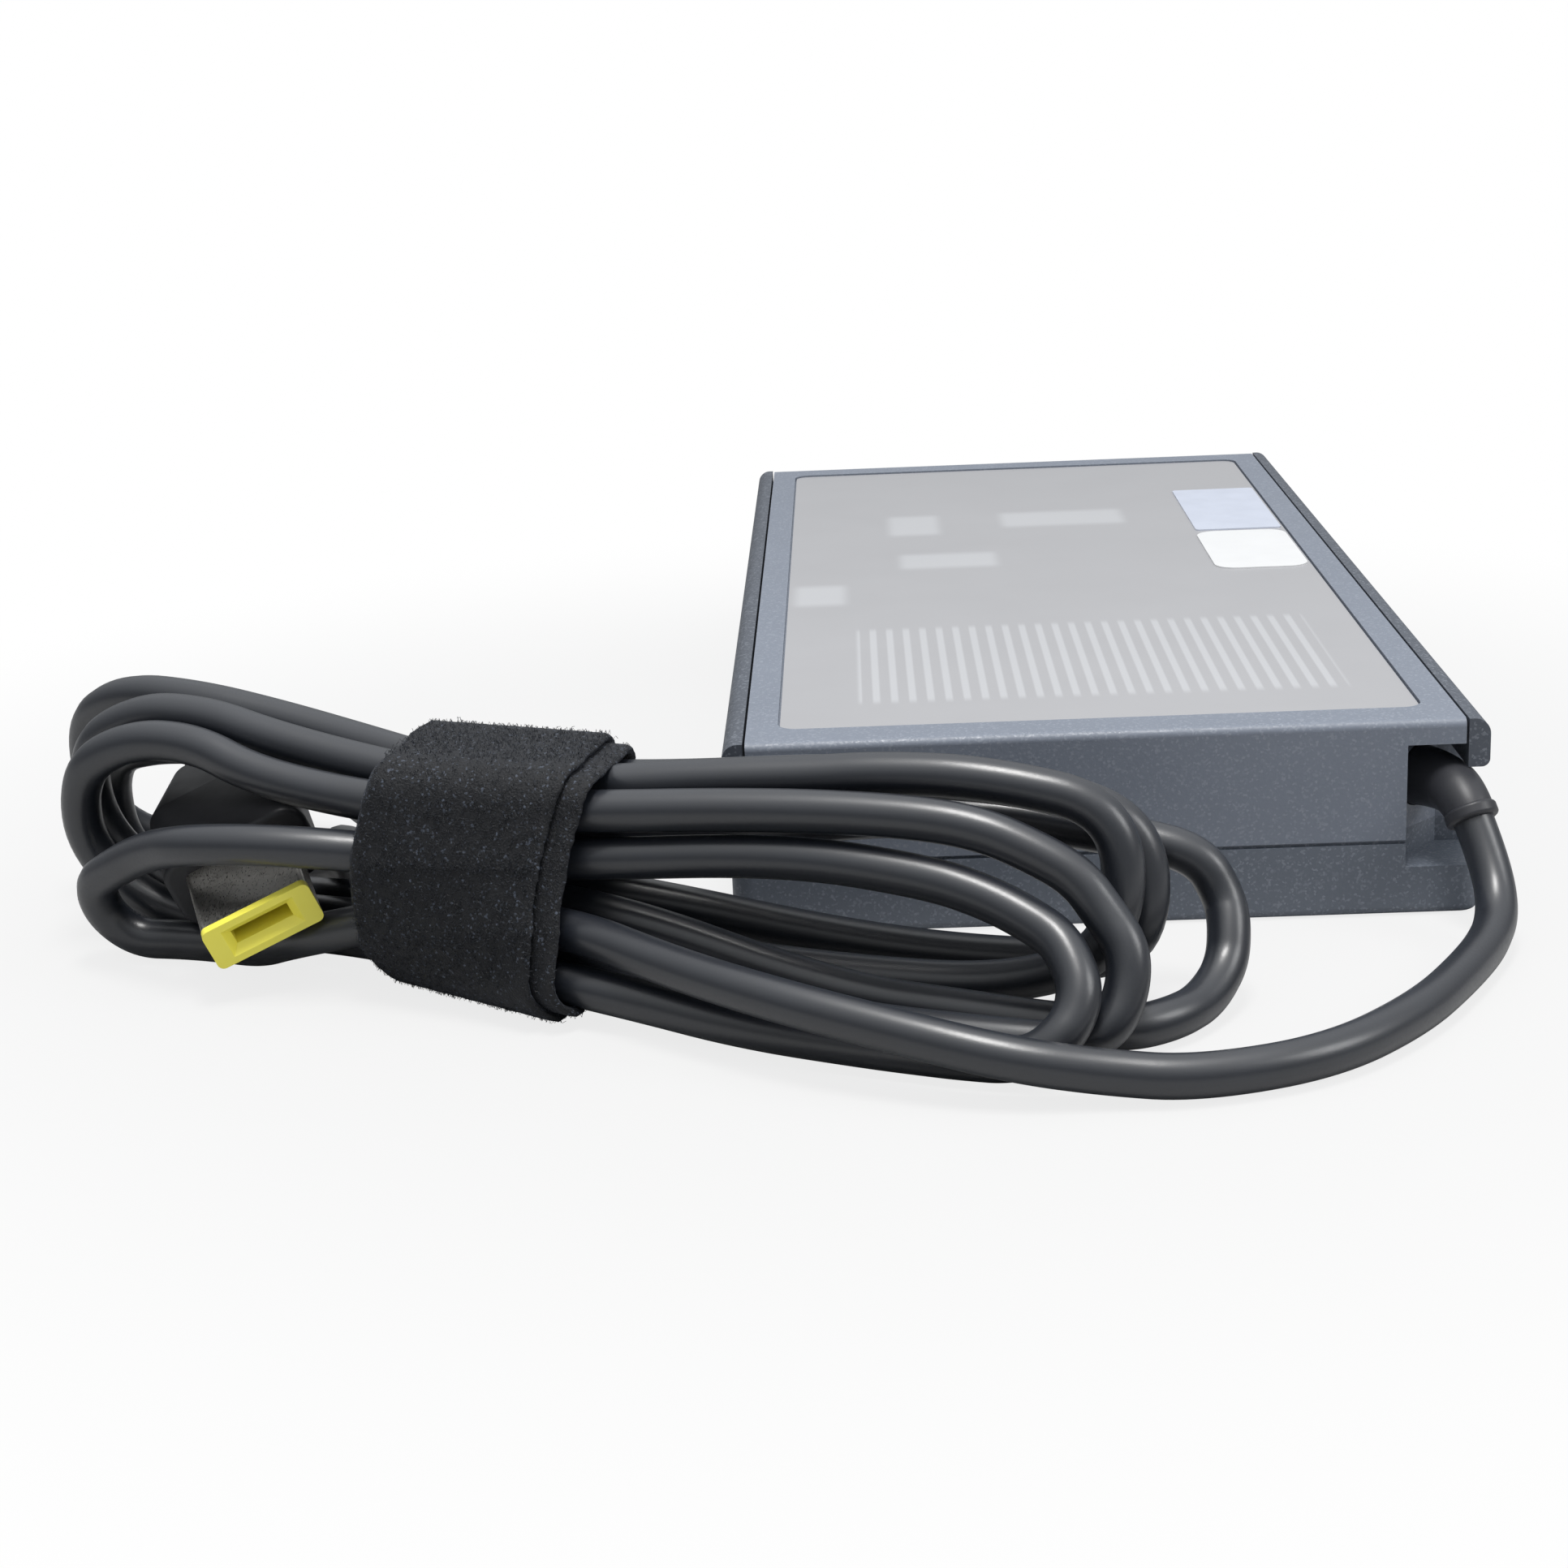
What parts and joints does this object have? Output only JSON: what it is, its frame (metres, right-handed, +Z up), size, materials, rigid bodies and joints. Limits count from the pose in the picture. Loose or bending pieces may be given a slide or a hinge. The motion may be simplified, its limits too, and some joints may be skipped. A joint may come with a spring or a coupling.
{
  "type": "laptop power adapter",
  "caption": "Flat rectangular laptop power supply with its DC cord wound in a hank, held by a hook-and-loop strap, ending in a rectangular plug.",
  "frame": {"origin": "centre of the brick's underside, on the surface it rests on", "axes": "+Z up, +Y along the brick towards its AC inlet, +X towards the long edge where the DC cord leaves"},
  "size_m": [0.1463, 0.1905, 0.0259],
  "materials": {
    "housing_plastic": "fine texture",
    "rail_plastic": "satin",
    "label_film": "satin",
    "sticker_silver": "satin",
    "sticker_white": "satin",
    "inlet_plastic": "satin",
    "pin_metal": "plated",
    "board_laminate": "satin",
    "heat_sink_metal": "mill",
    "insulating_sheet": "matte",
    "fuse_ceramic": "satin",
    "disc_ceramic": "satin",
    "film_capacitor_case": "satin",
    "capacitor_sleeve": "satin",
    "ferrite": "matte",
    "copper_winding": "enamelled",
    "epoxy_package": "matte",
    "silicone_pad": "matte",
    "wire_insulation": "satin",
    "cord_jacket": "satin",
    "boot_rubber": "satin",
    "plug_plastic": "satin",
    "plug_insulator": "satin",
    "plug_steel": "plated",
    "contact_metal": "plated",
    "strap_fabric": "loop pile",
    "hook_tape": "hooks"
  },
  "bodies": {
    "adapter": {"ac_inlet_body": "inlet_plastic", "ac_pin_earth": "pin_metal", "ac_pin_line": "pin_metal", "ac_pin_neutral": "pin_metal", "boost_choke_core": "ferrite", "boost_choke_winding": "copper_winding", "bridge_rectifier": "epoxy_package", "bulk_capacitor_1": "capacitor_sleeve", "bulk_capacitor_2": "capacitor_sleeve", "circuit_board": "board_laminate", "control_chip_1": "epoxy_package", "control_chip_2": "epoxy_package", "dc_cord_hank": "cord_jacket", "dc_cord_lead": "cord_jacket", "dc_cord_tail": "cord_jacket", "dc_wire_positive": "wire_insulation", "dc_wire_return": "wire_insulation", "filter_choke_core": "ferrite", "filter_choke_winding": "copper_winding", "heat_spreader_lower": "heat_sink_metal", "heat_spreader_upper": "heat_sink_metal", "inlet_lead_line": "wire_insulation", "inlet_lead_neutral": "wire_insulation", "input_fuse": "fuse_ceramic", "insulating_sheet_lower": "insulating_sheet", "insulating_sheet_upper": "insulating_sheet", "lower_housing": "housing_plastic", "optocoupler": "epoxy_package", "output_capacitor_1": "capacitor_sleeve", "output_capacitor_2": "capacitor_sleeve", "output_capacitor_3": "capacitor_sleeve", "output_choke": "ferrite", "plug_centre_pin": "contact_metal", "plug_contact_left": "contact_metal", "plug_contact_right": "contact_metal", "plug_housing": "plug_plastic", "plug_insulator": "plug_insulator", "plug_shell": "plug_steel", "plug_strain_relief": "boot_rubber", "primary_heat_sink": "heat_sink_metal", "primary_transistor": "epoxy_package", "rating_label": "label_film", "secondary_heat_sink": "heat_sink_metal", "secondary_rectifier": "epoxy_package", "side_rail_left": "rail_plastic", "side_rail_right": "rail_plastic", "silver_sticker": "sticker_silver", "strain_relief_boot": "boot_rubber", "strap_inner_layer": "strap_fabric", "strap_outer_layer": "strap_fabric", "thermal_pad": "silicone_pad", "transformer_core": "ferrite", "transformer_winding": "copper_winding", "upper_housing": "housing_plastic", "white_sticker": "sticker_white", "x_capacitor": "film_capacitor_case", "y_capacitor_1": "disc_ceramic", "y_capacitor_2": "disc_ceramic"},
    "strap_tab": {"strap_hook_tab": "hook_tape"}
  },
  "joints": [
    {"name": "strap_tab_peel", "type": "hinge", "parent": "adapter", "child": "strap_tab", "pos_m": [-0.06411, -0.0704, 0.02011], "axis": [0.9599, -0.267, -0.0858], "range_deg": [0, 75]}
  ]
}
